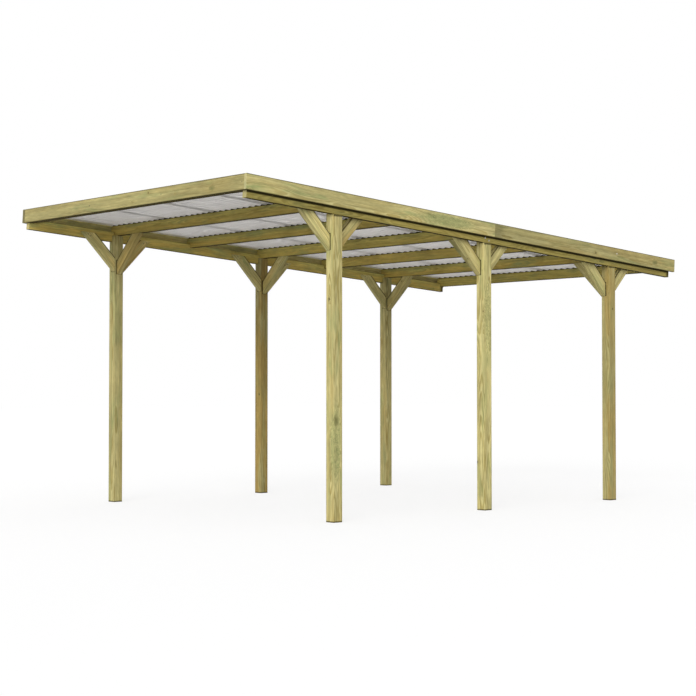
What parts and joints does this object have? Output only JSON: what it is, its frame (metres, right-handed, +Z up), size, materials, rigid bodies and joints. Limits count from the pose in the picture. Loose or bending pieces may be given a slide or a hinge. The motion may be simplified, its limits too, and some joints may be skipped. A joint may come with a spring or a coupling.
{
  "type": "carport",
  "caption": "Free-standing open timber carport with knee-braced posts and a corrugated plastic roof that falls to the rear.",
  "frame": {"origin": "on the ground, below the middle of the roof's outline", "axes": "+X across the carport to the right as seen from the front, +Y from the high front towards the low rear, +Z up"},
  "size_m": [3.014, 5.2148, 2.5297],
  "materials": {
    "post_timber": "pressure-treated pine, planed, with rounded edges",
    "frame_timber": "pressure-treated pine, planed",
    "brace_timber": "pressure-treated pine, planed",
    "fascia_timber": "pressure-treated pine boards, planed",
    "roof_plastic": "translucent corrugated sheet"
  },
  "bodies": {
    "root": {"post_front_left": "post_timber", "post_front_right": "post_timber", "post_middle_left": "post_timber", "post_middle_right": "post_timber", "post_rear_left": "post_timber", "post_rear_right": "post_timber", "beam_left": "frame_timber", "beam_right": "frame_timber", "rafter_1": "frame_timber", "rafter_2": "frame_timber", "rafter_3": "frame_timber", "rafter_4": "frame_timber", "rafter_5": "frame_timber", "rafter_6": "frame_timber", "rafter_7": "frame_timber", "brace_front_left_forward": "brace_timber", "brace_front_left_rearward": "brace_timber", "brace_front_left_cross": "brace_timber", "brace_front_right_forward": "brace_timber", "brace_front_right_rearward": "brace_timber", "brace_front_right_cross": "brace_timber", "brace_middle_left_forward": "brace_timber", "brace_middle_left_rearward": "brace_timber", "brace_middle_left_cross": "brace_timber", "brace_middle_right_forward": "brace_timber", "brace_middle_right_rearward": "brace_timber", "brace_middle_right_cross": "brace_timber", "brace_rear_left_forward": "brace_timber", "brace_rear_left_rearward": "brace_timber", "brace_rear_left_cross": "brace_timber", "brace_rear_right_forward": "brace_timber", "brace_rear_right_rearward": "brace_timber", "brace_rear_right_cross": "brace_timber", "fascia_front": "fascia_timber", "fascia_left_front": "fascia_timber", "fascia_left_rear": "fascia_timber", "fascia_right_front": "fascia_timber", "fascia_right_rear": "fascia_timber", "roof_sheet_1": "roof_plastic", "roof_sheet_2": "roof_plastic", "roof_sheet_3": "roof_plastic", "roof_sheet_4": "roof_plastic"}
  },
  "joints": []
}
